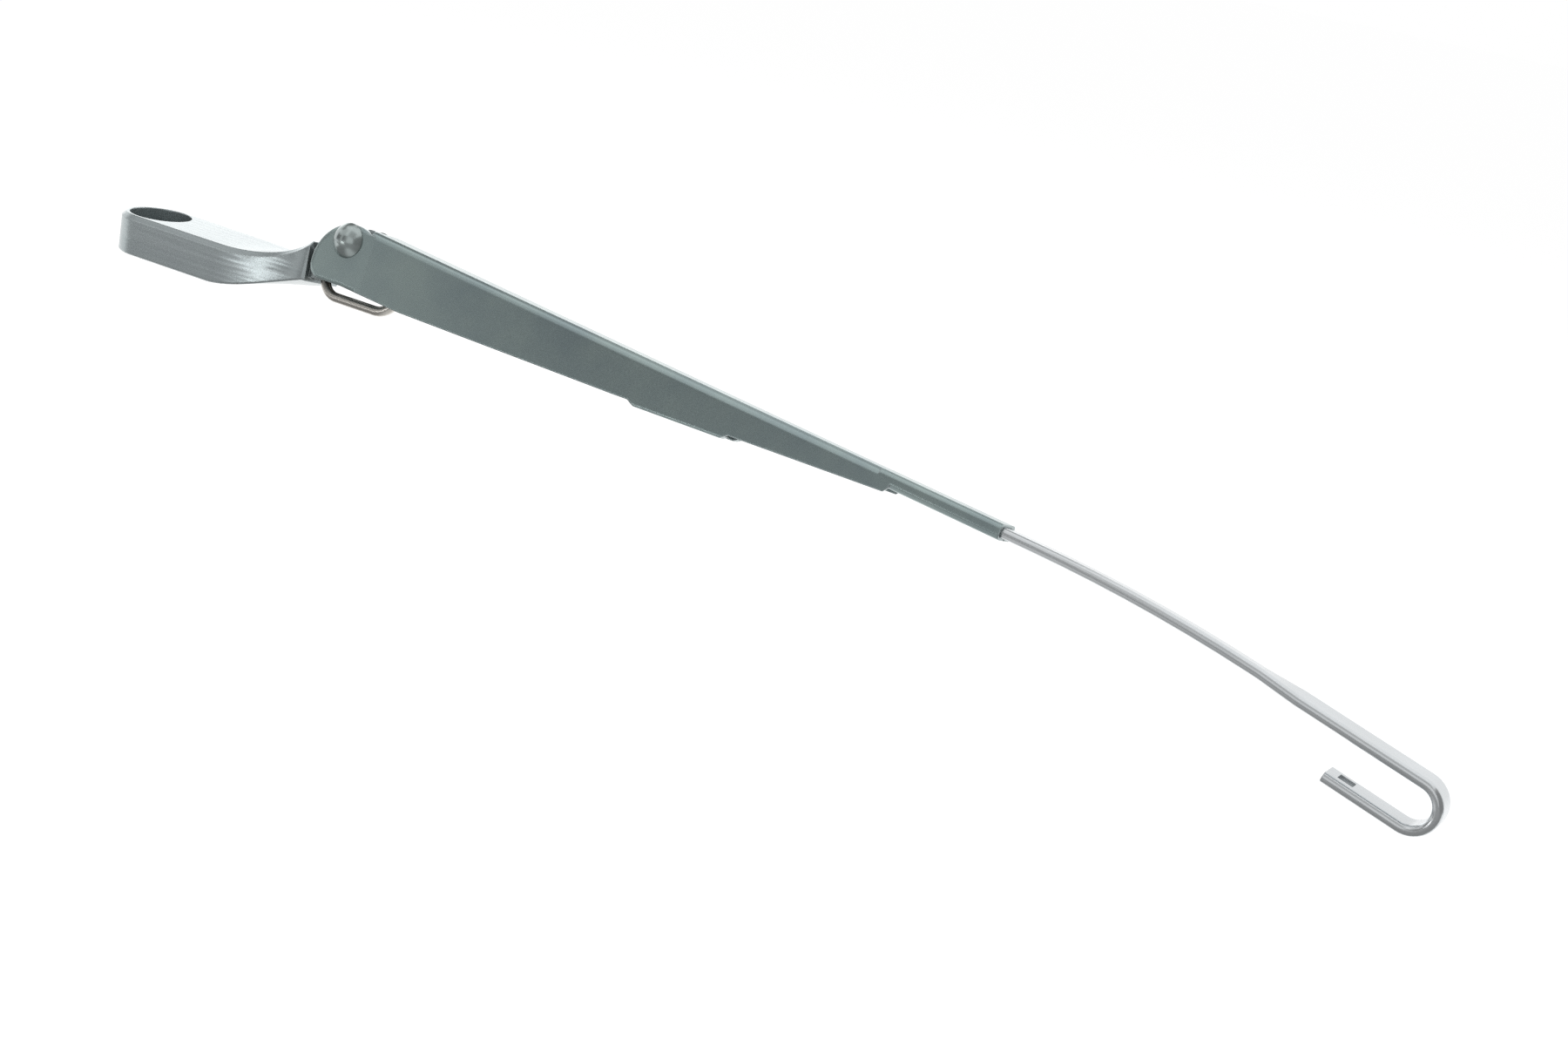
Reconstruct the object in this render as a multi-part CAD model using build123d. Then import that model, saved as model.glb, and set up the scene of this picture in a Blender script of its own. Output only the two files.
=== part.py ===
from build123d import *
import os
from math import atan, cos, degrees, radians, sin, sqrt, tan

# Sizes are in millimetres, angles in degrees.

# Mounting head: boss, bar and riser, measured from the spindle axis
bar_half_width = 12.4
riser_half_width = 12.0
head_height = 13.2
nut_pocket_radius = 10.1
nut_seat_height = 6.0
spindle_bore_radius = 5.0
riser_start = 34.0
shoulder_x = 70.5
shoulder_half_width = 8.3
shoulder_top = 21.2
shoulder_foot = 8.4
shoulder_top_reach = 0.3
shoulder_foot_reach = 1.6
shoulder_roll = 11.0
riser_top_power = 3.8
riser_foot_power = 1.37
riser_side_power = 1.3
riser_sections = 7
top_bevel = 1.5
foot_bevel = 0.5

# Hinge: place of its axis and its tilt against the head's face
hinge_x = 86.0
hinge_z = 24.8
hinge_tilt = 14.0
rivet_radius = 3.0
rivet_dome_radius = 5.6
near_dome_height = 3.4
far_dome_height = 1.8
running_clearance = 0.05
side_clearance = 0.3

# Bushes and the head's forked tongue
bush_wall = 0.95
bush_flange_thickness = 0.9
bush_flange_radius = 5.0
knuckle_radius = 5.4
tongue_root_top = -7.6
tongue_root_foot = -15.1
tongue_root_overlap = 1.0
tongue_neck_half_width = 4.0
tongue_neck_margin = 0.4
fork_slot_width = 4.8
fork_slot_start = shoulder_x + 1.2

# Link pin and spring link, measured from the hinge axis
link_pin_x = -7.2
link_pin_z = -10.5
link_pin_radius = 1.7
link_pin_wall = 2.2
link_wire_radius = 1.6
link_bow_depth = 8.0
link_bow_left_bend = 6.5
link_bow_end_x = 11.4
link_eye_start = -20.0
link_hook_clearance = 0.1

# Tension spring
spring_wire_radius = 0.85
spring_coil_radius = 3.45
spring_pitch = 2.0
spring_leg = 2.4
spring_anchor_x = 103.0

# Arm channel, measured from the hinge axis
sheet = 0.8
channel_half_width = 8.0
ear_arc_radius = 13.7
ear_arc_x = 1.8
ear_arc_drop = 8.4
ear_foot = -14.3
ear_corner_radius = 5.0
ear_break_width = 1.0
ear_break_depth = 0.35
web_start = 8.0
web_height = 6.1
web_slope = -0.1028
web_bend_radius = 2.6
foot_knee = (26.0, -16.4)
foot_middle = (106.5, -18.8)
channel_end = (198.4, -20.2)
channel_end_corner = 1.6
lip_start = 112.0
lip_end = 146.5
lip_drop = 1.4
lip_width = 3.2
lip_end_slope = 2.4
lip_bend_radius = 0.7
neck_end = 233.3
neck_overlap = 4.0
neck_corner_radius = 1.7
neck_seam = 0.8

# Wiper rod: flat strip with full-round edges
strip_width = 9.0
strip_thickness = 3.0
strip_seat = 0.02
strip_side_clearance = 0.1
strip_inner_end = 99.0
strip_end_level = -10.5
strip_inner_bend_radius = 60.0
strip_bend_start = 242.8
strip_bend_radius = 490.0
strip_end_slope = -0.242
twist_lead = 2.0
twist_length = 11.0
twist_angle = 11.0
spring_hole_clearance = 0.4

# Hook at the blade end, measured along the strip from the twist's end
hook_turn_x = 36.7
hook_gap = 10.0
hook_tip_length = 21.6
hook_slot_length = 4.4
hook_slot_width = 3.6
hook_slot_from_tip = 5.2

# Cuts: how far one runs past the face that it opens, and the length of one that goes right through
cut_over = 1.0
through = 80.0

arm_place = Pos(hinge_x, 0, hinge_z) * Rot(-hinge_tilt, 0, 0)
ear_inner_face = channel_half_width - sheet
cheek_half_width = ear_inner_face - side_clearance - bush_flange_thickness
bush_radius = rivet_radius + running_clearance + bush_wall
web_angle = degrees(atan(web_slope))
strip_end_angle = degrees(atan(strip_end_slope))
neck_half_width = strip_width / 2 + strip_side_clearance + sheet
neck_height = strip_thickness + 2 * (sheet + strip_seat)
link_eye_radius = link_pin_radius + running_clearance + link_wire_radius
link_hook_radius = link_wire_radius + spring_wire_radius + link_hook_clearance
link_bow_z = link_pin_z - link_bow_depth
link_hook_x = link_bow_end_x + link_bow_depth - link_hook_radius


def upright(x, z):
    """Point of the arm's upright middle plane."""
    return (x, 0, z)


def web_top(x):
    """Height of the web's upper face at a distance from the hinge axis."""
    return web_height + web_slope * x


def half_width(x):
    """Half of the channel's outer width at a distance from the hinge axis."""
    share = (x - web_start) / (channel_end[0] - web_start)
    return channel_half_width + (neck_half_width - channel_half_width) * share


def arc(centre, radius, start, end):
    """Arc in the upright middle plane, from one angle to another."""
    angles = (start, (start + end) / 2, end)
    points = []
    for angle in angles:
        x = centre[0] + radius * cos(radians(angle))
        z = centre[1] + radius * sin(radians(angle))
        points.append(upright(x, z))
    return ThreePointArc(*points)


def side_block(outline, width):
    """Solid of a side outline, the same width to both sides."""
    return extrude(Plane.XZ * make_face(Polyline(*outline, close=True)), width, both=True)


def head_section(x, half, top, foot, roll):
    """Cross-section of the head with bevelled edges, rolled about its length."""
    tall = top - foot
    corners = [
        (-half, -tall / 2 + foot_bevel),
        (-half + foot_bevel, -tall / 2),
        (half - foot_bevel, -tall / 2),
        (half, -tall / 2 + foot_bevel),
        (half, tall / 2 - top_bevel),
        (half - top_bevel, tall / 2),
        (-half + top_bevel, tall / 2),
        (-half, tall / 2 - top_bevel),
    ]
    across = (0, cos(radians(roll)), -sin(radians(roll)))
    plane = Plane(origin=(x, 0, (top + foot) / 2), x_dir=across, z_dir=(1, 0, 0))
    return plane * make_face(Polyline(*corners, close=True))


def head_bar():
    """Round boss and straight bar, with the nut pocket and the spindle bore."""
    boss = Cylinder(bar_half_width, head_height, align=(Align.CENTER, Align.CENTER, Align.MIN))
    boss = chamfer(boss.edges().group_by(Axis.Z)[-1], top_bevel)
    boss = chamfer(boss.edges().group_by(Axis.Z)[0], foot_bevel)
    near = head_section(0, bar_half_width, head_height, 0, 0)
    far = head_section(riser_start, riser_half_width, head_height, 0, 0)
    return boss + loft([near, far], ruled=True)


def head_riser():
    """Riser that narrows, climbs and rolls from the bar to the shoulder."""
    sections = []
    for index in range(riser_sections):
        share = index / (riser_sections - 1)
        turn = share ** riser_side_power
        ease = turn * turn * (3 - 2 * turn)
        x = riser_start + share * (shoulder_x - riser_start)
        half = riser_half_width + (shoulder_half_width - riser_half_width) * ease
        top = head_height + (shoulder_top - head_height) * share ** riser_top_power
        foot = shoulder_foot * share ** riser_foot_power
        sections.append(head_section(x, half, top, foot, shoulder_roll * ease))
    return loft(sections)


def head_shoulder():
    """Shoulder past the riser's end, cut to a leaning face that reaches farther at its foot."""
    section = head_section(shoulder_x, shoulder_half_width, shoulder_top, shoulder_foot, shoulder_roll)
    block = extrude(section, shoulder_foot_reach)
    left = shoulder_x - cut_over - hinge_x
    right = shoulder_x - hinge_x
    top = shoulder_top - hinge_z
    foot = shoulder_foot - hinge_z
    lean = (shoulder_foot_reach - shoulder_top_reach) / (foot - top)
    outline = [
        (left, top + through),
        (right + shoulder_top_reach + lean * through, top + through),
        (right + shoulder_foot_reach - lean * through, foot - through),
        (left, foot - through),
    ]
    return block & arm_place * side_block(outline, through)


def head_tongue():
    """Forked tongue with the knuckle, the seat of the link pin and a narrower neck at its root."""
    root_x = shoulder_x - tongue_root_overlap - hinge_x
    knuckle = Circle(knuckle_radius)
    pin_seat = Pos(link_pin_x, link_pin_z) * Circle(link_pin_radius + link_pin_wall)
    root = Line((root_x, tongue_root_foot), (root_x, tongue_root_top))
    outline = make_hull(knuckle.edges() + pin_seat.edges() + root.edges())
    tongue = extrude(Plane.XZ * outline, cheek_half_width, both=True)
    slot_start = fork_slot_start - hinge_x
    slot_length = knuckle_radius - slot_start + cut_over
    slot = Pos(slot_start, 0, 0) * Box(
        slot_length, fork_slot_width, through, align=(Align.MIN, Align.CENTER, Align.CENTER))
    neck_end = link_pin_x - link_pin_radius - tongue_neck_margin
    reliefs = []
    for side, edge in ((1, Align.MIN), (-1, Align.MAX)):
        relief = Box(through, through, through, align=(Align.MAX, edge, Align.CENTER))
        reliefs.append(Pos(neck_end, side * tongue_neck_half_width, 0) * relief)
    bush_bore = Rot(90, 0, 0) * Cylinder(bush_radius, through)
    pin_bore = Pos(link_pin_x, 0, link_pin_z) * Rot(90, 0, 0) * Cylinder(link_pin_radius, through)
    return tongue - slot - reliefs, bush_bore + pin_bore


def mounting_head():
    """Cast head in one piece."""
    tongue, bores = head_tongue()
    body = head_bar() + head_riser() + head_shoulder() + arm_place * tongue
    body -= arm_place * bores
    pocket_depth = head_height - nut_seat_height
    body -= Pos(0, 0, nut_seat_height) * Cylinder(
        nut_pocket_radius, pocket_depth, align=(Align.CENTER, Align.CENTER, Align.MIN))
    return body - Cylinder(spindle_bore_radius, head_height, align=(Align.CENTER, Align.CENTER, Align.MIN))


def hinge_bush(side):
    """Flanged bush in one cheek of the fork; side is -1 near and 1 far."""
    sleeve_length = cheek_half_width - fork_slot_width / 2
    sleeve = Cylinder(bush_radius, sleeve_length, align=(Align.CENTER, Align.CENTER, Align.MAX))
    flange = Cylinder(bush_flange_radius, bush_flange_thickness,
                      align=(Align.CENTER, Align.CENTER, Align.MIN))
    hole = Cylinder(rivet_radius + running_clearance, through)
    bush = sleeve + flange - hole
    return arm_place * Pos(0, side * cheek_half_width, 0) * Rot(-90 * side, 0, 0) * bush


def rivet_dome(height):
    """Rounded rivet head standing on its base circle."""
    ball_radius = (rivet_dome_radius ** 2 + height ** 2) / (2 * height)
    ball = Pos(0, 0, height - ball_radius) * Sphere(ball_radius)
    keep = Cylinder(2 * ball_radius, 2 * ball_radius, align=(Align.CENTER, Align.CENTER, Align.MIN))
    return ball & keep


def hinge_rivet():
    """Rivet through both ears, domed at both ends."""
    shank = Rot(90, 0, 0) * Cylinder(rivet_radius, 2 * channel_half_width)
    near = Pos(0, -channel_half_width, 0) * Rot(90, 0, 0) * rivet_dome(near_dome_height)
    far = Pos(0, channel_half_width, 0) * Rot(-90, 0, 0) * rivet_dome(far_dome_height)
    return arm_place * (shank + near + far)


def link_pin():
    """Plain pin across the fork, pressed into both cheeks."""
    pin = Rot(90, 0, 0) * Cylinder(link_pin_radius, 2 * cheek_half_width)
    return arm_place * Pos(link_pin_x, 0, link_pin_z) * pin


def spring_link():
    """C-shaped wire: eye round the link pin, bow below the hinge, hook for the spring."""
    left_x = link_pin_x - link_eye_radius
    bend_z = link_bow_z + link_bow_left_bend
    bend_x = left_x + link_bow_left_bend
    path = Wire([
        arc((link_pin_x, link_pin_z), link_eye_radius, link_eye_start, 180),
        Line(upright(left_x, link_pin_z), upright(left_x, bend_z)),
        arc((bend_x, bend_z), link_bow_left_bend, 180, 270),
        Line(upright(bend_x, link_bow_z), upright(link_bow_end_x, link_bow_z)),
        arc((link_bow_end_x, link_pin_z), link_bow_depth, -90, 0),
        arc((link_hook_x, link_pin_z), link_hook_radius, 0, 180),
    ])
    section = Plane(origin=path @ 0, z_dir=path % 0) * Circle(link_wire_radius)
    return arm_place * sweep(section, path=path)


def spring_loop(turn):
    """End loop of the spring, open towards +X; turn stands it upright."""
    bow = ThreePointArc((0, spring_coil_radius, 0), (-spring_coil_radius, 0, 0),
                        (0, -spring_coil_radius, 0))
    path = Wire([
        Line((spring_leg, spring_coil_radius, 0), (0, spring_coil_radius, 0)),
        bow,
        Line((0, -spring_coil_radius, 0), (spring_leg, -spring_coil_radius, 0)),
    ])
    section = Plane(origin=path @ 0, z_dir=path % 0) * Circle(spring_wire_radius)
    return Rot(turn, 0, 0) * sweep(section, path=path)


def tension_spring():
    """Coil spring from the link's hook to the hole in the strip's inner end."""
    left_x = link_hook_x + spring_coil_radius
    right_x = spring_anchor_x - spring_coil_radius
    coil_start = left_x + spring_leg
    coil_length = right_x - spring_leg - coil_start
    helix = Helix(spring_pitch, coil_length, spring_coil_radius)
    section = Plane(origin=helix @ 0, z_dir=helix % 0) * Circle(spring_wire_radius)
    coil = Pos(coil_start, 0, 0) * Rot(0, 90, 0) * sweep(section, path=helix)
    left = Pos(left_x, 0, 0) * spring_loop(0)
    right = Pos(right_x, 0, 0) * Rot(0, 0, 180) * spring_loop(90)
    return arm_place * Pos(0, 0, link_pin_z) * (coil + left + right)


def ear_pair():
    """Two flat ears that carry the rivet, left of the web."""
    run = web_start - ear_arc_x
    right_angle = degrees(atan(sqrt(ear_arc_radius ** 2 - run ** 2) / run))
    right_z = ear_arc_radius * sin(radians(right_angle)) - ear_arc_drop
    left = ear_arc_x - ear_arc_radius
    reach = web_start + 2 * sheet
    crown = CenterArc((ear_arc_x, -ear_arc_drop), ear_arc_radius, right_angle, 180 - right_angle)
    sides = Polyline(
        (left, -ear_arc_drop),
        (left, ear_foot),
        (ear_arc_x, ear_foot),
        (reach, foot_height(reach)),
        (reach, right_z),
        (web_start, right_z),
    )
    face = make_face(crown.edges() + sides.edges())
    corner = face.vertices().sort_by_distance((left, ear_foot, 0))[0]
    face = fillet(corner, ear_corner_radius)
    plate = extrude(Plane.XZ * face, channel_half_width, both=True)
    for side in (0, -1):
        cheek = plate.faces().sort_by(Axis.Y)[side]
        rim = [edge for edge in cheek.edges() if edge.center().X < ear_arc_x]
        plate = chamfer(rim, ear_break_width, ear_break_depth, reference=cheek)
    inside = Box(through, 2 * ear_inner_face, through)
    hole = Rot(90, 0, 0) * Cylinder(rivet_radius, through)
    return plate - inside - hole


def foot_height(x):
    """Height of the walls' lower edge at a distance from the hinge axis."""
    points = [(ear_arc_x, ear_foot), foot_knee, foot_middle, channel_end]
    for left, right in zip(points, points[1:]):
        if x <= right[0]:
            return left[1] + (right[1] - left[1]) * (x - left[0]) / (right[0] - left[0])
    return channel_end[1]


def plan_block(start, end, inset):
    """Tapered block over the channel's plan, set in from its outer faces."""
    outline = [
        (start, -half_width(start) + inset),
        (end, -half_width(end) + inset),
        (end, half_width(end) - inset),
        (start, half_width(start) - inset),
    ]
    return extrude(make_face(Polyline(*outline, close=True)), through / 2, both=True)


def long_top_edges(block):
    """The two upper lengthwise edges of a channel block."""
    lengthwise = [edge for edge in block.edges() if edge.length > channel_end[0] / 2]
    return ShapeList(lengthwise).sort_by(Axis.Z)[-2:]


def channel_walls():
    """Web and two walls as one folded sheet, open below."""
    end_x = channel_end[0]
    drop = sheet / cos(radians(web_angle))
    outline = [
        (web_start, web_top(web_start)),
        (end_x, web_top(end_x)),
        (end_x, channel_end[1] + channel_end_corner),
        (end_x - channel_end_corner, foot_height(end_x - channel_end_corner)),
        foot_middle,
        foot_knee,
        (web_start, foot_height(web_start)),
    ]
    outer = side_block(outline, 2 * channel_half_width) & plan_block(web_start, end_x, 0)
    outer = fillet(long_top_edges(outer), web_bend_radius)
    left = web_start - cut_over
    right = end_x + cut_over
    bottom = channel_end[1] - cut_over
    hollow_outline = [
        (left, web_top(left) - drop),
        (right, web_top(right) - drop),
        (right, bottom),
        (left, bottom),
    ]
    hollow = side_block(hollow_outline, 2 * channel_half_width)
    hollow = hollow & plan_block(left, right, sheet)
    return outer - fillet(long_top_edges(hollow), web_bend_radius - sheet)


def channel_lips():
    """Short tabs folded inward below both walls."""
    outline = [
        (lip_start, foot_height(lip_start) + cut_over),
        (lip_end, foot_height(lip_end) + cut_over),
        (lip_end, foot_height(lip_end)),
        (lip_end - lip_end_slope, foot_height(lip_end) - lip_drop),
        (lip_start + lip_end_slope, foot_height(lip_start) - lip_drop),
        (lip_start, foot_height(lip_start)),
    ]
    block = side_block(outline, 2 * channel_half_width) & plan_block(lip_start, lip_end, 0)
    lengthwise = [edge for edge in block.edges() if edge.length > (lip_end - lip_start) / 2]
    block = fillet(ShapeList(lengthwise).sort_by(Axis.Z)[:2], lip_bend_radius)
    left = lip_start - cut_over
    right = lip_end + cut_over
    hollow_outline = [
        (left, foot_height(lip_start) + 2 * cut_over),
        (right, foot_height(lip_end) + 2 * cut_over),
        (right, foot_height(lip_end) - lip_drop + sheet),
        (left, foot_height(lip_start) - lip_drop + sheet),
    ]
    hollow = side_block(hollow_outline, 2 * channel_half_width)
    hollow = hollow & plan_block(left, right, sheet)
    return block - hollow - plan_block(left, right, lip_width)


def channel_neck():
    """Neck folded closed round the strip, with a seam below."""
    start = channel_end[0] - neck_overlap
    length = (neck_end - start) / cos(radians(web_angle))
    outer = RectangleRounded(2 * neck_half_width, neck_height, neck_corner_radius)
    inner = RectangleRounded(2 * (neck_half_width - sheet), neck_height - 2 * sheet,
                             neck_corner_radius - sheet)
    seam = Pos(0, -neck_height / 2) * Rectangle(neck_seam, 2 * sheet)
    along = (cos(radians(web_angle)), 0, sin(radians(web_angle)))
    plane = Plane(origin=upright(start, web_top(start)), x_dir=(0, 1, 0), z_dir=along)
    section = Pos(0, -neck_height / 2) * (outer - inner - seam)
    return extrude(plane * section, length)


def arm_channel():
    """Folded channel with ears, lips and neck, in one piece."""
    return arm_place * (channel_walls() + ear_pair() + channel_lips() + channel_neck())


def strip_section(point, along, across):
    """Cross-section of the strip, square to its length."""
    return Plane(origin=point, x_dir=across, z_dir=along) * SlotOverall(strip_width, strip_thickness)


def strip_path():
    """Middle line of the strip from its inner end to the start of the twist."""
    depth = (sheet + strip_seat + strip_thickness / 2) / cos(radians(web_angle))
    level_end = (strip_end_level + depth - web_height) / web_slope
    bend_length = strip_inner_bend_radius * tan(radians(-web_angle / 2))
    bend_z = strip_end_level - strip_inner_bend_radius
    first = arc((level_end - bend_length, bend_z), strip_inner_bend_radius, 90, 90 + web_angle)
    start_z = web_top(strip_bend_start) - depth
    centre_x = strip_bend_start + strip_bend_radius * sin(radians(web_angle))
    centre_z = start_z - strip_bend_radius * cos(radians(web_angle))
    second = arc((centre_x, centre_z), strip_bend_radius, 90 + web_angle, 90 + strip_end_angle)
    bend_end = second @ 1
    twist_z = bend_end.Z + strip_end_slope * twist_lead
    return Wire([
        Line(upright(strip_inner_end, strip_end_level), first @ 0),
        first,
        Line(first @ 1, second @ 0),
        second,
        Line(bend_end, upright(bend_end.X + twist_lead, twist_z)),
    ])


def hook_path():
    """Middle line of the hook in its own plane: along, round and back."""
    radius = (hook_gap + strip_thickness) / 2
    turn = ThreePointArc((hook_turn_x, 0), (hook_turn_x + radius, -radius), (hook_turn_x, -2 * radius))
    tip = hook_turn_x - hook_tip_length
    return Wire([
        Line((0, 0), (hook_turn_x, 0)),
        turn,
        Line((hook_turn_x, -2 * radius), (tip, -2 * radius)),
    ])


def wiper_rod():
    """Flat strip with bends, twist, U hook, spring hole and blade slot."""
    path = strip_path()
    along = Vector(cos(radians(strip_end_angle)), 0, sin(radians(strip_end_angle)))
    body = sweep(strip_section(path @ 0, path % 0, (0, 1, 0)), path=path)
    start = path @ 1
    end = start + along * (twist_length / along.X)
    turned = Vector(0, cos(radians(twist_angle)), sin(radians(twist_angle)))
    across = (turned - along * turned.dot(along)).normalized()
    twist = loft([strip_section(start, along, (0, 1, 0)), strip_section(end, along, across)])
    hook_plane = Plane(origin=end, x_dir=along, z_dir=across * -1)
    line = hook_plane * hook_path()
    hook = sweep(strip_section(line @ 0, line % 0, across), path=line)
    lower = -(hook_gap + strip_thickness)
    slot_x = hook_turn_x - hook_tip_length + hook_slot_from_tip
    slot = hook_plane * Pos(slot_x, lower, 0) * Box(
        hook_slot_length, 2 * strip_thickness, hook_slot_width)
    hole_radius = spring_wire_radius + spring_hole_clearance
    hole = Pos(spring_anchor_x, 0, strip_end_level) * Cylinder(hole_radius, 2 * strip_thickness)
    return arm_place * (body + twist + hook - slot - hole)


nodes = {
    "mounting_head": mounting_head(),
    "hinge_bush_near": hinge_bush(-1),
    "hinge_bush_far": hinge_bush(1),
    "hinge_rivet": hinge_rivet(),
    "link_pin": link_pin(),
    "spring_link": spring_link(),
    "tension_spring": tension_spring(),
    "arm_channel": arm_channel(),
    "wiper_rod": wiper_rod(),
}

os.makedirs("parts", exist_ok=True)
for name, shape in nodes.items():
    export_step(shape, f"parts/{name}.step")
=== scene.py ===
import logging
import math
from dataclasses import dataclass
from enum import Enum

import bpy
import numpy as np
from mathutils import Matrix


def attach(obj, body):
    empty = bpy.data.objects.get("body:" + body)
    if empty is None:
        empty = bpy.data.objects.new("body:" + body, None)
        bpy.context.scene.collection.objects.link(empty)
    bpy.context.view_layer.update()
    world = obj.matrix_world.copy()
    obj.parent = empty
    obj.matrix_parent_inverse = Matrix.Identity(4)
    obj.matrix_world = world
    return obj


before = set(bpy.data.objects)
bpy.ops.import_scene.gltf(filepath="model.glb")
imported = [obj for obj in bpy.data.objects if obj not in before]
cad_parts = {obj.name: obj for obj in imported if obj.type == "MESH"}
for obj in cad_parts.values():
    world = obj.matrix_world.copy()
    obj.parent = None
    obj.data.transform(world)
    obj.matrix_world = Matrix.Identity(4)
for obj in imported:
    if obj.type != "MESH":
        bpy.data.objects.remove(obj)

log = logging.getLogger("wiper_arm")
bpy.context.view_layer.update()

Colour = tuple[float, float, float]
Point = tuple[float, float, float]
Tones = tuple[tuple[float, float], ...]


class Grain(Enum):
    """How a finish is grained: along its length, or evenly as sprayed paint."""

    BRUSHED = "brushed"
    SPRAYED = "sprayed"


class NodeSheet:
    """Short hand for adding and joining shader nodes in one node tree."""

    def __init__(self, tree: bpy.types.NodeTree) -> None:
        """Keeps the tree that the nodes go into."""
        self.tree = tree

    def add(self, kind: str, **values: object) -> bpy.types.Node:
        """Adds a node and sets its plain properties.

        Args:
            kind: the node's type name.
            values: properties of the node, by name.

        Returns:
            The new node.
        """
        node = self.tree.nodes.new(kind)
        for name, value in values.items():
            setattr(node, name, value)
        return node

    def join(self, source: bpy.types.NodeSocket, target: bpy.types.NodeSocket) -> None:
        """Links an output socket to an input socket."""
        self.tree.links.new(source, target)

    def maths(self, operation: str, first: object, second: object = 0.0) -> bpy.types.NodeSocket:
        """Adds a Math node on two numbers or sockets.

        Args:
            operation: the node's operation name.
            first: a number or an output socket.
            second: a number or an output socket.

        Returns:
            The node's output socket.
        """
        node = self.add("ShaderNodeMath", operation=operation)
        for slot, value in zip(node.inputs, (first, second)):
            if isinstance(value, bpy.types.NodeSocket):
                self.join(value, slot)
            else:
                slot.default_value = value
        return node.outputs[0]

    def spread(self, value: bpy.types.NodeSocket, low: float, high: float,
               to_low: float = 0.0, to_high: float = 1.0) -> bpy.types.NodeSocket:
        """Maps a value from one range to another and keeps it inside.

        Args:
            value: the socket to map.
            low: the value that becomes to_low.
            high: the value that becomes to_high.
            to_low: the result's end for low.
            to_high: the result's end for high.

        Returns:
            The mapped socket.
        """
        node = self.add("ShaderNodeMapRange", clamp=True)
        for slot, number in zip(node.inputs[1:5], (low, high, to_low, to_high)):
            slot.default_value = number
        self.join(value, node.inputs[0])
        return node.outputs[0]

    def blend(self, share: object, first: object, second: object) -> bpy.types.NodeSocket:
        """Mixes two colours.

        Args:
            share: a number or socket, 0 for the first colour and 1 for the second.
            first: a colour or socket.
            second: a colour or socket.

        Returns:
            The mixed colour's socket.
        """
        node = self.add("ShaderNodeMix", data_type="RGBA")
        for index, value in ((0, share), (6, first), (7, second)):
            if isinstance(value, bpy.types.NodeSocket):
                self.join(value, node.inputs[index])
            elif index == 0:
                node.inputs[index].default_value = value
            else:
                node.inputs[index].default_value = (*value, 1.0)
        return node.outputs[2]


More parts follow.
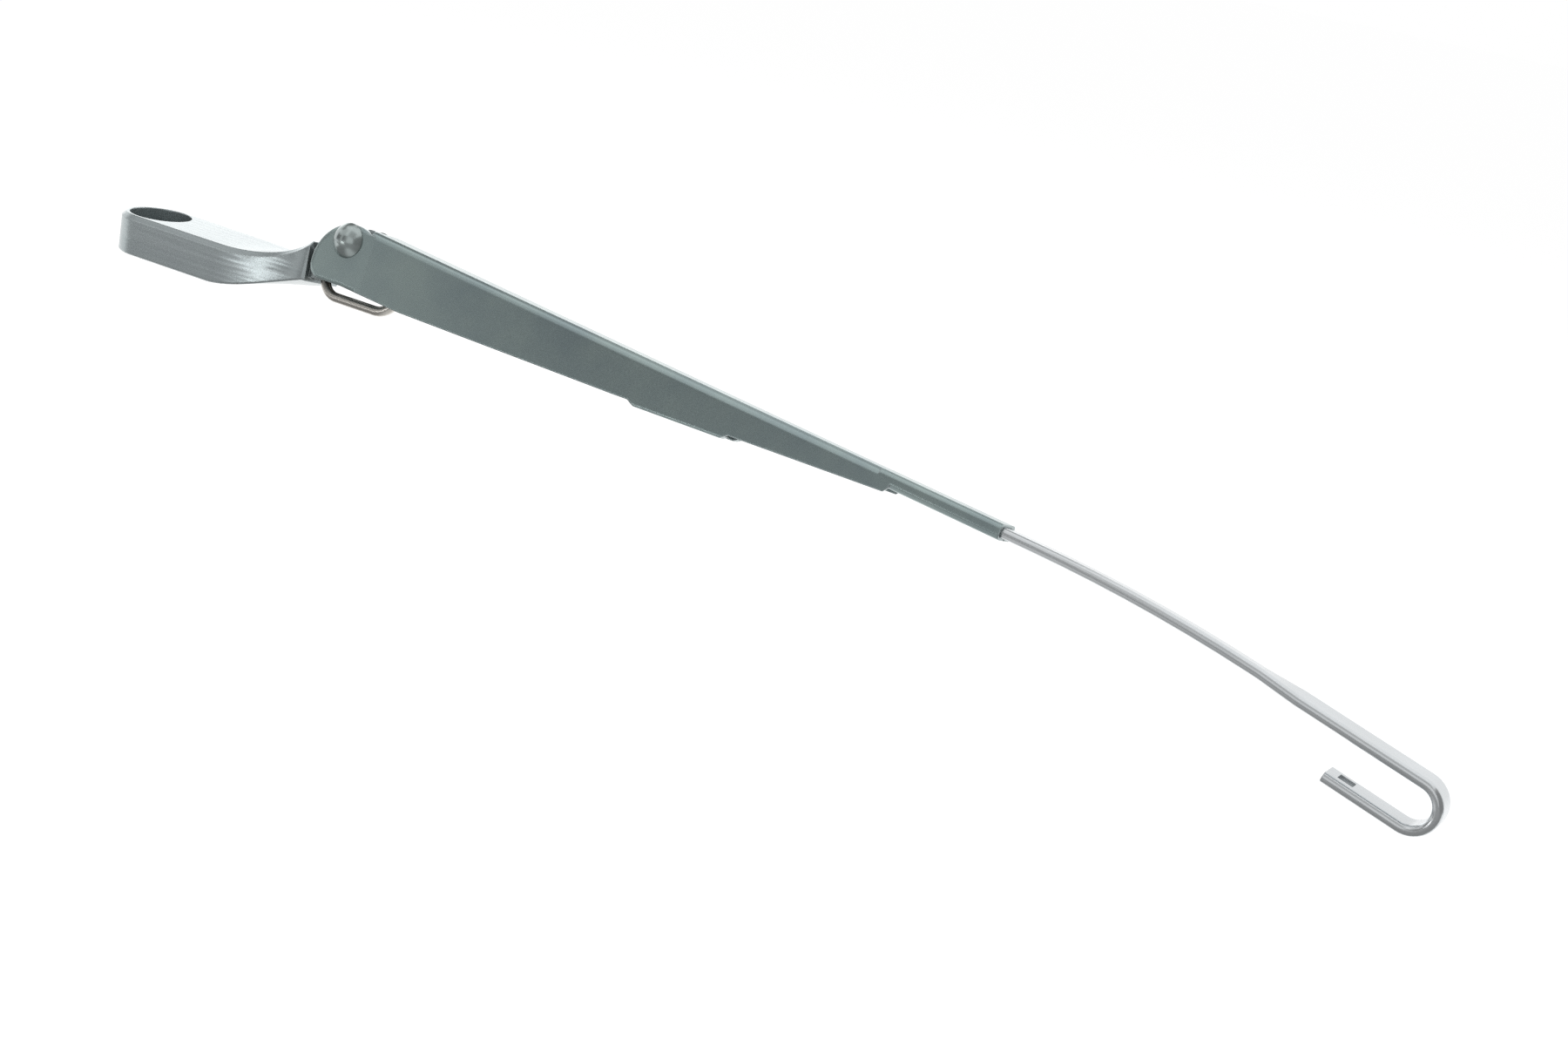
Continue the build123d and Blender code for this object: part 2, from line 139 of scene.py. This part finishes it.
class EffectShelf:
    """The shader node groups that more than one finish uses, each built once."""

    PATCH_DETAIL = 4.0
    PATCH_ROUGHNESS = 0.62
    PATCH_RANGE = (0.32, 0.68)
    GRAIN_DETAIL = 2.0
    GRAIN_SIZES = (1.0, 0.22)
    STREAK_DETAIL = 1.0
    STREAK_RANGE = (0.3, 0.7)
    EDGE_SAMPLES = 6
    EDGE_RANGE = (0.995, 0.86)
    CREVICE_SAMPLES = 6
    CREVICE_RANGE = (0.90, 0.60)

    def __init__(self) -> None:
        """Builds every group."""
        self.mottle = self._mottle()
        self.grain = self._grain()
        self.streaks = self._streaks()
        self.edges = self._edges()
        # painted shade: the crevice group darkens hollows and gaps where shade falls
        self.crevice_shade = self._painted_crevice_shade()

    @staticmethod
    def _group(name: str, takes: dict[str, tuple[str, object]],
               gives: dict[str, str]) -> tuple[NodeSheet, bpy.types.Node, bpy.types.Node]:
        """Makes an empty group with named sockets.

        Args:
            name: the group's name.
            takes: input names with their socket kind and default.
            gives: output names with their socket kind.

        Returns:
            The group's sheet, its input node and its output node.
        """
        tree = bpy.data.node_groups.new(name, "ShaderNodeTree")
        for label, (kind, value) in takes.items():
            socket = tree.interface.new_socket(label, in_out="INPUT", socket_type=kind)
            socket.default_value = value
        for label, kind in gives.items():
            tree.interface.new_socket(label, in_out="OUTPUT", socket_type=kind)
        sheet = NodeSheet(tree)
        return sheet, sheet.add("NodeGroupInput"), sheet.add("NodeGroupOutput")

    def _mottle(self) -> bpy.types.NodeTree:
        """Patchy tone: soft noise of the piece's own space mixes a base and a shade colour.

        Returns:
            The group.
        """
        sheet, given, out = self._group(
            "patchy_tone",
            {"Base": ("NodeSocketColor", (0.5, 0.5, 0.5, 1.0)),
             "Shade": ("NodeSocketColor", (0.4, 0.4, 0.4, 1.0)),
             "Scale": ("NodeSocketFloat", 60.0),
             "Amount": ("NodeSocketFloat", 0.5)},
            {"Color": "NodeSocketColor"})
        place = sheet.add("ShaderNodeTexCoord")
        noise = sheet.add("ShaderNodeTexNoise")
        noise.inputs["Detail"].default_value = self.PATCH_DETAIL
        noise.inputs["Roughness"].default_value = self.PATCH_ROUGHNESS
        sheet.join(place.outputs["Object"], noise.inputs["Vector"])
        sheet.join(given.outputs["Scale"], noise.inputs["Scale"])
        share = sheet.maths("MULTIPLY", sheet.spread(noise.outputs["Fac"], *self.PATCH_RANGE),
                            given.outputs["Amount"])
        sheet.join(sheet.blend(share, given.outputs["Base"], given.outputs["Shade"]),
                   out.inputs["Color"])
        return sheet.tree

    def _grain(self) -> bpy.types.NodeTree:
        """Sprayed grain: a fine and a coarse noise added up as a height, and flakes as a mask.

        Returns:
            The group.
        """
        sheet, given, out = self._group(
            "sprayed_grain",
            {"Scale": ("NodeSocketFloat", 900.0), "Flakes": ("NodeSocketFloat", 2600.0)},
            {"Height": "NodeSocketFloat", "Flake": "NodeSocketFloat"})
        place = sheet.add("ShaderNodeTexCoord")
        heights = []
        for size in self.GRAIN_SIZES:
            noise = sheet.add("ShaderNodeTexNoise")
            noise.inputs["Detail"].default_value = self.GRAIN_DETAIL
            sheet.join(place.outputs["Object"], noise.inputs["Vector"])
            sheet.join(sheet.maths("MULTIPLY", given.outputs["Scale"], size), noise.inputs["Scale"])
            heights.append(noise.outputs["Fac"])
        sheet.join(sheet.maths("ADD", *heights), out.inputs["Height"])
        cells = sheet.add("ShaderNodeTexVoronoi")
        sheet.join(place.outputs["Object"], cells.inputs["Vector"])
        sheet.join(given.outputs["Flakes"], cells.inputs["Scale"])
        parts = sheet.add("ShaderNodeSeparateColor")
        sheet.join(cells.outputs["Color"], parts.inputs["Color"])
        sheet.join(parts.outputs[0], out.inputs["Flake"])
        return sheet.tree

    def _streaks(self) -> bpy.types.NodeTree:
        """Lengthwise streaks: noise drawn out along X, as a mask.

        Returns:
            The group.
        """
        sheet, given, out = self._group(
            "length_streaks",
            {"Scale": ("NodeSocketFloat", 450.0), "Stretch": ("NodeSocketFloat", 0.03)},
            {"Mask": "NodeSocketFloat"})
        place = sheet.add("ShaderNodeTexCoord")
        parts = sheet.add("ShaderNodeSeparateXYZ")
        sheet.join(place.outputs["Object"], parts.inputs[0])
        along = sheet.maths("MULTIPLY", parts.outputs["X"], given.outputs["Stretch"])
        vector = sheet.add("ShaderNodeCombineXYZ")
        for source, target in zip((along, parts.outputs["Y"], parts.outputs["Z"]), vector.inputs):
            sheet.join(source, target)
        noise = sheet.add("ShaderNodeTexNoise")
        noise.inputs["Detail"].default_value = self.STREAK_DETAIL
        sheet.join(vector.outputs[0], noise.inputs["Vector"])
        sheet.join(given.outputs["Scale"], noise.inputs["Scale"])
        sheet.join(sheet.spread(noise.outputs["Fac"], *self.STREAK_RANGE), out.inputs["Mask"])
        return sheet.tree

    def _edges(self) -> bpy.types.NodeTree:
        """Edges: the normal rounded over a radius, and how far it leaves the face as a mask.

        Returns:
            The group.
        """
        sheet, given, out = self._group(
            "soft_edges",
            {"Radius": ("NodeSocketFloat", 0.0004)},
            {"Normal": "NodeSocketVector", "Mask": "NodeSocketFloat"})
        rounded = sheet.add("ShaderNodeBevel", samples=self.EDGE_SAMPLES)
        sheet.join(given.outputs["Radius"], rounded.inputs["Radius"])
        face = sheet.add("ShaderNodeNewGeometry")
        dot = sheet.add("ShaderNodeVectorMath", operation="DOT_PRODUCT")
        sheet.join(rounded.outputs[0], dot.inputs[0])
        sheet.join(face.outputs["Normal"], dot.inputs[1])
        sheet.join(rounded.outputs[0], out.inputs["Normal"])
        sheet.join(sheet.spread(dot.outputs["Value"], *self.EDGE_RANGE), out.inputs["Mask"])
        return sheet.tree

    def _painted_crevice_shade(self) -> bpy.types.NodeTree:
        """Painted crevice shade: an occlusion mask that is 1 where other faces stand close by, and
        0 in the open.

        Returns:
            The group.
        """
        sheet, given, out = self._group(
            "painted_crevice_shade",
            {"Reach": ("NodeSocketFloat", 0.005), "Amount": ("NodeSocketFloat", 0.6)},
            {"Mask": "NodeSocketFloat"})
        open_sky = sheet.add("ShaderNodeAmbientOcclusion", samples=self.CREVICE_SAMPLES)
        sheet.join(given.outputs["Reach"], open_sky.inputs["Distance"])
        closed_in = sheet.spread(open_sky.outputs["AO"], *self.CREVICE_RANGE)
        sheet.join(sheet.maths("MULTIPLY", closed_in, given.outputs["Amount"]), out.inputs["Mask"])
        return sheet.tree


@dataclass(frozen=True)
class Finish:
    """One painted or bare metal finish."""

    name: str
    base: Colour
    shade: Colour
    # Edge colour: partly paint worn thin at the edges, partly a painted highlight on rims and
    # chamfers; the streaks take it too.
    edge_wear_highlight_and_streak: Colour
    metallic: float
    roughness: float
    flake_spread: float = 0.015
    coat: float = 0.0
    coat_roughness: float = 0.2
    patch_scale: float = 70.0
    patch_amount: float = 0.5
    edge_radius: float = 0.0004
    edge_wear_and_highlight_amount: float = 0.4
    grain: Grain = Grain.SPRAYED
    grain_scale: float = 3200.0
    grain_depth: float = 0.02
    grain_height: float = 0.0002
    streak_amount: float = 0.0
    # painted shade: a dark colour and how much of it goes into crevices and gaps, where shade falls
    painted_shade: Colour = (0.025, 0.028, 0.028)
    painted_shade_amount: float = 0.6

    def material(self, shelf: EffectShelf) -> bpy.types.Material:
        """Builds the finish as a material.

        Args:
            shelf: the shared effects.

        Returns:
            The material.
        """
        made = bpy.data.materials.new(self.name)
        made.use_nodes = True
        sheet = NodeSheet(made.node_tree)
        shader = made.node_tree.nodes["Principled BSDF"]
        shader.inputs["Metallic"].default_value = self.metallic
        shader.inputs["Coat Weight"].default_value = self.coat
        shader.inputs["Coat Roughness"].default_value = self.coat_roughness
        tone = self._effect(sheet, shelf.mottle, Scale=self.patch_scale, Amount=self.patch_amount)
        tone.inputs["Base"].default_value = (*self.base, 1.0)
        tone.inputs["Shade"].default_value = (*self.shade, 1.0)
        edges = self._effect(sheet, shelf.edges, Radius=self.edge_radius)
        grain = self._effect(sheet, shelf.grain, Scale=self.grain_scale)
        streaks = self._effect(sheet, shelf.streaks)
        crevice_shade = self._effect(sheet, shelf.crevice_shade, Amount=self.painted_shade_amount)
        # Lighter edges: partly paint worn thin, partly painted highlight on rims and chamfers.
        edge_wear_and_highlight = sheet.maths("MULTIPLY", edges.outputs["Mask"], self.edge_wear_and_highlight_amount)
        lined = sheet.maths("MULTIPLY", streaks.outputs["Mask"], self.streak_amount)
        colour = sheet.blend(edge_wear_and_highlight, tone.outputs["Color"], self.edge_wear_highlight_and_streak)
        colour = sheet.blend(lined, colour, self.edge_wear_highlight_and_streak)
        # painted shade: darkens the colour in crevices and gaps, where shade falls
        colour = sheet.blend(crevice_shade.outputs["Mask"], colour, self.painted_shade)
        sheet.join(colour, shader.inputs["Base Color"])
        rough = sheet.spread(grain.outputs["Flake"], 0.0, 1.0,
                             self.roughness - self.flake_spread, self.roughness + self.flake_spread)
        sheet.join(rough, shader.inputs["Roughness"])
        bump = sheet.add("ShaderNodeBump")
        bump.inputs["Strength"].default_value = self.grain_depth
        bump.inputs["Distance"].default_value = self.grain_height
        height = grain.outputs["Height"] if self.grain is Grain.SPRAYED else streaks.outputs["Mask"]
        sheet.join(height, bump.inputs["Height"])
        sheet.join(edges.outputs["Normal"], bump.inputs["Normal"])
        sheet.join(bump.outputs["Normal"], shader.inputs["Normal"])
        return made

    @staticmethod
    def _effect(sheet: NodeSheet, group: bpy.types.NodeTree, **values: float) -> bpy.types.Node:
        """Places a shared effect in a material.

        Args:
            sheet: the material's sheet.
            group: the effect's node group.
            values: its input values, by name.

        Returns:
            The group node.
        """
        node = sheet.add("ShaderNodeGroup", node_tree=group)
        for name, value in values.items():
            node.inputs[name].default_value = value
        return node


# Each finish lightens its edges with partly worn paint, partly painted highlight, and darkens its
# crevices with painted shade.
SILVER_CAST = Finish("silver_cast_paint", base=(0.42, 0.475, 0.48), shade=(0.38, 0.42, 0.445),
                     edge_wear_highlight_and_streak=(0.66, 0.71, 0.72), metallic=0.8, roughness=0.26, coat=0.25,
                     edge_radius=0.0006, edge_wear_and_highlight_amount=0.55, grain=Grain.BRUSHED, grain_depth=0.2,
                     streak_amount=0.16)
SILVER_SHEET = Finish("silver_sheet_paint", base=(0.35, 0.43, 0.42), shade=(0.275, 0.345, 0.36),
                      edge_wear_highlight_and_streak=(0.70, 0.75, 0.77), metallic=0.8, roughness=0.27, coat=0.25,
                      patch_scale=48.0, patch_amount=0.85, edge_radius=0.0007, edge_wear_and_highlight_amount=0.55,
                      grain_depth=0.002, painted_shade_amount=0.12)
SILVER_ROD = Finish("silver_rod_paint", base=(0.67, 0.70, 0.72), shade=(0.60, 0.625, 0.635),
                    edge_wear_highlight_and_streak=(0.76, 0.77, 0.77), metallic=0.9, roughness=0.22, coat=0.1,
                    edge_wear_and_highlight_amount=0.1, grain_depth=0.002, streak_amount=0.15, painted_shade_amount=0.2)
SILVER_RIVET = Finish("silver_rivet_paint", base=(0.42, 0.475, 0.47), shade=(0.36, 0.415, 0.41),
                      edge_wear_highlight_and_streak=(0.50, 0.55, 0.55), metallic=0.85, roughness=0.24, coat=0.1,
                      edge_wear_and_highlight_amount=0.1, grain_depth=0.002, painted_shade_amount=0.3)
LINK_WIRE = Finish("bare_link_wire", base=(0.60, 0.58, 0.54), shade=(0.50, 0.48, 0.44),
                   edge_wear_highlight_and_streak=(0.64, 0.62, 0.58), metallic=1.0, roughness=0.28, grain=Grain.BRUSHED,
                   edge_wear_and_highlight_amount=0.1)
SPRING_WIRE = Finish("oiled_spring_wire", base=(0.26, 0.25, 0.235), shade=(0.17, 0.165, 0.155),
                     edge_wear_highlight_and_streak=(0.34, 0.33, 0.31), metallic=1.0, roughness=0.32, edge_wear_and_highlight_amount=0.0)
BUSH_METAL = Finish("sintered_bush_metal", base=(0.30, 0.30, 0.29), shade=(0.22, 0.22, 0.21),
                    edge_wear_highlight_and_streak=(0.38, 0.38, 0.37), metallic=1.0, roughness=0.42, edge_wear_and_highlight_amount=0.3)


def dress(node: str, material: bpy.types.Material) -> None:
    """Gives a node of the fixed frame its material.

    Args:
        node: the node's name.
        material: the material for all of its slots.
    """
    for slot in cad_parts[node].material_slots:
        slot.material = material
    log.info("dressed %s with %s", node, material.name)


def grid_mesh(name: str, points: np.ndarray, material: bpy.types.Material,
              closed: bool) -> bpy.types.Object:
    """Makes an object of a grid of points.

    Args:
        name: the object's name.
        points: array of rows by columns by three, in metres.
        material: its material.
        closed: whether the last row joins the first, and the last column the first.

    Returns:
        The object, linked to the scene.
    """
    rows, columns = points.shape[:2]
    open_ends = 0 if closed else 1
    r, c = np.meshgrid(np.arange(rows - open_ends), np.arange(columns - open_ends), indexing="ij")
    r_next = (r + 1) % rows
    c_next = (c + 1) % columns
    quads = np.stack([r * columns + c, r_next * columns + c,
                      r_next * columns + c_next, r * columns + c_next], axis=-1).reshape(-1, 4)
    mesh = bpy.data.meshes.new(name)
    mesh.from_pydata(points.reshape(-1, 3).tolist(), [], quads.tolist())
    mesh.materials.append(material)
    made = bpy.data.objects.new(name, mesh)
    bpy.context.scene.collection.objects.link(made)
    return made


@dataclass
class MountingHead:
    """Cast head with the fine teeth in its spindle bore."""

    node: str = "mounting_head"
    bore_radius: float = 0.00498
    tooth_depth: float = 0.00030
    ring_wall: float = 0.00012
    teeth: int = 48
    steps_per_tooth: int = 6
    ring_foot: float = 0.0004
    ring_top: float = 0.0056

    def knurl_points(self) -> np.ndarray:
        """Works out the toothed ring.

        The ring is a closed section carried round the bore. Its outer wall keeps one radius,
        and its inner wall is that radius less a wall and less a triangle wave of the angle.

        Returns:
            Points as angle by section corner by three.
        """
        turn = np.linspace(0.0, 2 * math.pi, self.teeth * self.steps_per_tooth, endpoint=False)
        wave = np.abs((turn * self.teeth / (2 * math.pi)) % 1.0 * 2.0 - 1.0)
        inner = self.bore_radius - self.ring_wall - self.tooth_depth * wave
        outer = np.full_like(turn, self.bore_radius)
        radius = np.stack([inner, outer, outer, inner], axis=1)
        height = np.array([self.ring_foot, self.ring_foot, self.ring_top, self.ring_top])
        points = np.empty((*radius.shape, 3))
        points[..., 0] = radius * np.cos(turn)[:, None]
        points[..., 1] = radius * np.sin(turn)[:, None]
        points[..., 2] = height[None, :]
        return points

    def build(self, shelf: EffectShelf) -> None:
        """Dresses the head and adds the teeth of its bore.

        Args:
            shelf: the shared effects.
        """
        paint = SILVER_CAST.material(shelf)
        dress(self.node, paint)
        knurl = grid_mesh("spindle_knurl", self.knurl_points(), paint, closed=True)
        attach(knurl, "head")
        log.info("built %s", knurl.name)


@dataclass
class HingeWork:
    """Rivet, bushes, link and spring at the hinge."""

    rivet_node: str = "hinge_rivet"
    wire_nodes: tuple[str, ...] = ("spring_link", "link_pin")
    bush_nodes: tuple[str, ...] = ("hinge_bush_near", "hinge_bush_far")
    spring_node: str = "tension_spring"

    def build(self, shelf: EffectShelf) -> None:
        """Dresses the small metal parts.

        Args:
            shelf: the shared effects.
        """
        dress(self.rivet_node, SILVER_RIVET.material(shelf))
        wire = LINK_WIRE.material(shelf)
        for node in self.wire_nodes:
            dress(node, wire)
        bush = BUSH_METAL.material(shelf)
        for node in self.bush_nodes:
            dress(node, bush)
        dress(self.spring_node, SPRING_WIRE.material(shelf))


@dataclass
class LiftingArm:
    """Folded channel and the flat rod in it."""

    channel_node: str = "arm_channel"
    rod_node: str = "wiper_rod"

    def build(self, shelf: EffectShelf) -> None:
        """Dresses the channel and the rod."""
        dress(self.channel_node, SILVER_SHEET.material(shelf))
        dress(self.rod_node, SILVER_ROD.material(shelf))


def placed(axes: np.ndarray, place: Point) -> Matrix:
    """Makes the matrix that stands a lamp or camera in its place.

    Args:
        axes: its right, up and back directions, as columns.
        place: where it stands.

    Returns:
        The matrix.
    """
    return Matrix([[*row, spot] for row, spot in zip(axes, place)] + [[0.0, 0.0, 0.0, 1.0]])


def flat_points(corner: Point, along: Point, across: Point) -> np.ndarray:
    """Works out a flat four-sided sheet: its corner plus none or all of each of its two sides.

    Args:
        corner: the corner that both sides start from.
        along: the first side.
        across: the second side.

    Returns:
        Points as two by two by three.
    """
    share = np.array([0.0, 1.0])
    return (np.array(corner) + share[:, None, None] * np.array(along)
            + share[None, :, None] * np.array(across))


def stage_sheet(name: str) -> tuple[bpy.types.Material, NodeSheet, bpy.types.Node]:
    """Starts a glowing studio material that isn't sampled as a lamp.

    Args:
        name: the material's name.

    Returns:
        The material, its node sheet and its emission node, which is not joined yet.
    """
    made = bpy.data.materials.new(name)
    made.use_nodes = True
    made.cycles.emission_sampling = "NONE"
    sheet = NodeSheet(made.node_tree)
    sheet.tree.nodes.remove(sheet.tree.nodes["Principled BSDF"])
    return made, sheet, sheet.add("ShaderNodeEmission")


@dataclass(frozen=True)
class Lamp:
    """One soft rectangular lamp, aimed at a point."""

    name: str
    place: Point
    aim: Point
    width: float
    height: float
    watts: float
    in_gloss: bool = True

    def build(self) -> None:
        """Adds the lamp to the scene."""
        data = bpy.data.lights.new(self.name, "AREA")
        data.shape = "RECTANGLE"
        data.size = self.width
        data.size_y = self.height
        data.energy = self.watts
        made = bpy.data.objects.new(self.name, data)
        away = np.array(self.place) - np.array(self.aim)
        back = away / np.linalg.norm(away)
        right = np.cross((0.0, 0.0, 1.0), back)
        right /= np.linalg.norm(right)
        up = np.cross(back, right)
        made.matrix_world = placed(np.stack([right, up, back], axis=1), self.place)
        made.visible_camera = False
        made.visible_glossy = self.in_gloss
        bpy.context.scene.collection.objects.link(made)


@dataclass(frozen=True)
class GreyCard:
    """A grey card that only reflections show, as studios stand beside metal.

    Its tones are pairs of a share of its length and the grey there. One pair is an even card.
    """

    name: str
    corner: Point
    along: Point
    across: Point
    tones: Tones

    def shade(self, sheet: NodeSheet, glow: bpy.types.Node) -> None:
        """Gives the card its tones: one on the socket, or a ramp along its length.

        Args:
            sheet: the material's sheet.
            glow: the emission node.
        """
        if len(self.tones) == 1:
            glow.inputs["Strength"].default_value = self.tones[0][1]
            return
        along = np.array(self.along)
        per_length = along / (along @ along)
        place = sheet.add("ShaderNodeTexCoord")
        share = sheet.add("ShaderNodeVectorMath", operation="DOT_PRODUCT")
        sheet.join(place.outputs["Object"], share.inputs[0])
        share.inputs[1].default_value = per_length
        start = float(per_length @ np.array(self.corner))
        ramp = sheet.add("ShaderNodeValToRGB")
        stops = ramp.color_ramp.elements
        while len(stops) < len(self.tones):
            stops.new(0.5)
        for stop, (spot, tone) in zip(stops, self.tones):
            stop.position = spot
            stop.color = (tone, tone, tone, 1.0)
        sheet.join(sheet.spread(share.outputs["Value"], start, start + 1.0), ramp.inputs[0])
        sheet.join(ramp.outputs[0], glow.inputs["Color"])

    def build(self) -> None:
        """Adds the card, which neither lights nor shades the object."""
        made, sheet, glow = stage_sheet(self.name)
        self.shade(sheet, glow)
        sheet.join(glow.outputs[0], sheet.tree.nodes["Material Output"].inputs["Surface"])
        points = flat_points(self.corner, self.along, self.across)
        card = grid_mesh(self.name, points, made, closed=False)
        card.visible_camera = False
        card.visible_diffuse = False
        card.visible_shadow = False


# Sides of the room of grey cards: its left and front, just above the floor, and its length
ROOM_LEFT = -3.0
ROOM_FRONT = -1.9
ROOM_FOOT = -0.195
ROOM_LENGTH = (4.4, 0.0, 0.0)

LAMPS = (
    Lamp("lamp_above", (0.25, 0.35, 1.4), (0.2, 0.0, 0.0), 1.6, 1.2, 20.0, in_gloss=False),
    Lamp("lamp_front_left", (-0.45, -0.65, 0.95), (0.2, 0.0, 0.0), 0.6, 0.3, 2.5, in_gloss=False),
    Lamp("lamp_front_low", (-0.42, -1.05, -0.08), (0.055, 0.0, 0.01), 0.45, 0.10, 0.60),
    Lamp("lamp_back_left", (-1.1, 1.6, 0.5), (0.15, 0.0, 0.0), 2.2, 0.9, 4.0),
)

CARDS = (
    GreyCard("front_card", (ROOM_LEFT, ROOM_FRONT, 0.0), ROOM_LENGTH, (0.0, 0.0, 1.3),
             ((0.0, 0.12), (0.20, 0.14), (0.28, 0.75), (0.345, 0.85), (0.386, 0.42),
              (0.41, 0.25), (0.455, 0.11), (0.52, 0.14), (0.56, 0.30), (0.607, 0.36),
              (0.655, 0.45), (0.69, 0.85), (1.0, 0.85))),
    GreyCard("front_high_card", (ROOM_LEFT, ROOM_FRONT, 1.3), ROOM_LENGTH, (0.0, 1.2, 0.8),
             ((0.0, 0.80), (0.432, 0.68), (0.466, 0.55), (0.50, 0.80), (0.54, 1.0),
              (0.63, 1.0), (0.67, 0.55), (1.0, 0.45))),
    GreyCard("front_low_card", (ROOM_LEFT, ROOM_FRONT, ROOM_FOOT), ROOM_LENGTH,
             (0.0, 0.0, -ROOM_FOOT), ((0.0, 0.30),)),
    GreyCard("front_floor_card", (-1.2, ROOM_FRONT, ROOM_FOOT), (2.6, 0.0, 0.0),
             (0.0, 1.5, 0.0), ((0.0, 0.36),)),
    GreyCard("near_floor_card", (-0.35, -0.4, ROOM_FOOT), (1.75, 0.0, 0.0), (0.0, 0.42, 0.0),
             ((0.0, 0.25), (0.20, 0.28), (0.26, 0.75), (0.31, 0.75), (0.36, 0.45),
              (0.41, 0.30), (1.0, 0.30))),
    GreyCard("top_left_card", (ROOM_LEFT, -0.7, 2.1), (1.6, 0.0, 0.0), (0.0, 1.0, -0.6),
             ((0.0, 0.25),)),
    GreyCard("upper_card", (-2.0, 0.3, 1.5), (3.0, 0.0, 0.0), (0.0, 1.6, -0.4),
             ((0.0, 0.10), (0.40, 0.10), (0.433, 0.17), (0.483, 0.48), (0.553, 0.85),
              (0.60, 0.45), (0.633, 0.30), (0.667, 0.35), (0.687, 0.60), (0.71, 1.0))),
    GreyCard("right_card", (1.4, ROOM_FRONT, ROOM_FOOT), (0.0, 2.4, 0.0), (0.0, 0.0, 1.5),
             ((0.0, 0.25),)),
    GreyCard("left_card", (ROOM_LEFT, ROOM_FRONT, -0.1), (0.0, 3.5, 0.0), (0.0, 0.0, 1.4),
             ((0.0, 0.10), (0.35, 0.10), (0.41, 1.0), (1.0, 1.0))),
)


@dataclass
class Studio:
    """White floor, plain soft lamps, grey cards and the camera."""

    floor_level: float = -0.2
    floor_half_side: float = 30.0
    floor_glow: float = 0.84
    floor_tone: float = 0.28
    sky_strength: float = 0.55
    lens_mm: float = 48.0
    sensor_mm: float = 36.0
    clip_start: float = 0.01
    camera_place: Point = (0.50389, -0.51845, 0.15936)
    camera_right: Point = (0.85408, 0.48255, 0.19415)
    camera_up: Point = (-0.30649, 0.16531, 0.93741)
    camera_back: Point = (0.42026, -0.86013, 0.28908)
    lamps: tuple[Lamp, ...] = LAMPS
    cards: tuple[GreyCard, ...] = CARDS

    @staticmethod
    def seen_straight(sheet: NodeSheet) -> bpy.types.NodeSocket:
        """Gives 1 for rays from the camera, from a gloss and through glass, and 0 for others.

        Args:
            sheet: the sheet of the material or the world.

        Returns:
            The mask's socket.
        """
        path = sheet.add("ShaderNodeLightPath")
        seen = sheet.maths("MAXIMUM", path.outputs["Is Camera Ray"], path.outputs["Is Glossy Ray"])
        return sheet.maths("MAXIMUM", seen, path.outputs["Is Transmission Ray"])

    def build_floor(self) -> None:
        """Adds the white floor, which keeps a faint shadow."""
        made, sheet, glow = stage_sheet("white_floor")
        sheet.join(sheet.maths("MULTIPLY", self.seen_straight(sheet), self.floor_glow),
                   glow.inputs["Strength"])
        matt = sheet.add("ShaderNodeBsdfDiffuse")
        matt.inputs["Color"].default_value = (self.floor_tone,) * 3 + (1.0,)
        both = sheet.add("ShaderNodeAddShader")
        sheet.join(matt.outputs[0], both.inputs[0])
        sheet.join(glow.outputs[0], both.inputs[1])
        sheet.join(both.outputs[0], sheet.tree.nodes["Material Output"].inputs["Surface"])
        side = 2 * self.floor_half_side
        points = flat_points((-self.floor_half_side, -self.floor_half_side, self.floor_level),
                             (side, 0.0, 0.0), (0.0, side, 0.0))
        grid_mesh("floor", points, made, closed=False)

    def build_world(self) -> None:
        """Adds the world: white where it is seen, a plain grey where it lights."""
        world = bpy.data.worlds.new("soft_room")
        world.use_nodes = True
        bpy.context.scene.world = world
        sheet = NodeSheet(world.node_tree)
        ground = world.node_tree.nodes["Background"]
        ground.inputs["Color"].default_value = (1.0, 1.0, 1.0, 1.0)
        strength = sheet.spread(self.seen_straight(sheet), 0.0, 1.0, self.sky_strength, 1.0)
        sheet.join(strength, ground.inputs["Strength"])

    def build_camera(self) -> None:
        """Adds the camera where the photograph was taken from."""
        data = bpy.data.cameras.new("photo_camera")
        data.lens = self.lens_mm
        data.sensor_width = self.sensor_mm
        data.sensor_fit = "HORIZONTAL"
        data.clip_start = self.clip_start
        made = bpy.data.objects.new("photo_camera", data)
        axes = np.stack([self.camera_right, self.camera_up, self.camera_back], axis=1)
        made.matrix_world = placed(axes, self.camera_place)
        bpy.context.scene.collection.objects.link(made)
        bpy.context.scene.camera = made

    def build(self) -> None:
        """Sets up floor, world, lamps, cards and camera."""
        bpy.context.scene.view_settings.view_transform = "Standard"
        self.build_floor()
        self.build_world()
        for fitting in (*self.lamps, *self.cards):
            fitting.build()
        self.build_camera()
        log.info("lit by %d lamps", len(self.lamps))


def main() -> None:
    """Builds the dressed wiper arm and its studio, in order."""
    logging.basicConfig(level=logging.INFO, format="%(name)s: %(message)s")
    shelf = EffectShelf()
    for assembly in (MountingHead(), HingeWork(), LiftingArm()):
        assembly.build(shelf)
    Studio().build()


if __name__ == "__main__":
    main()
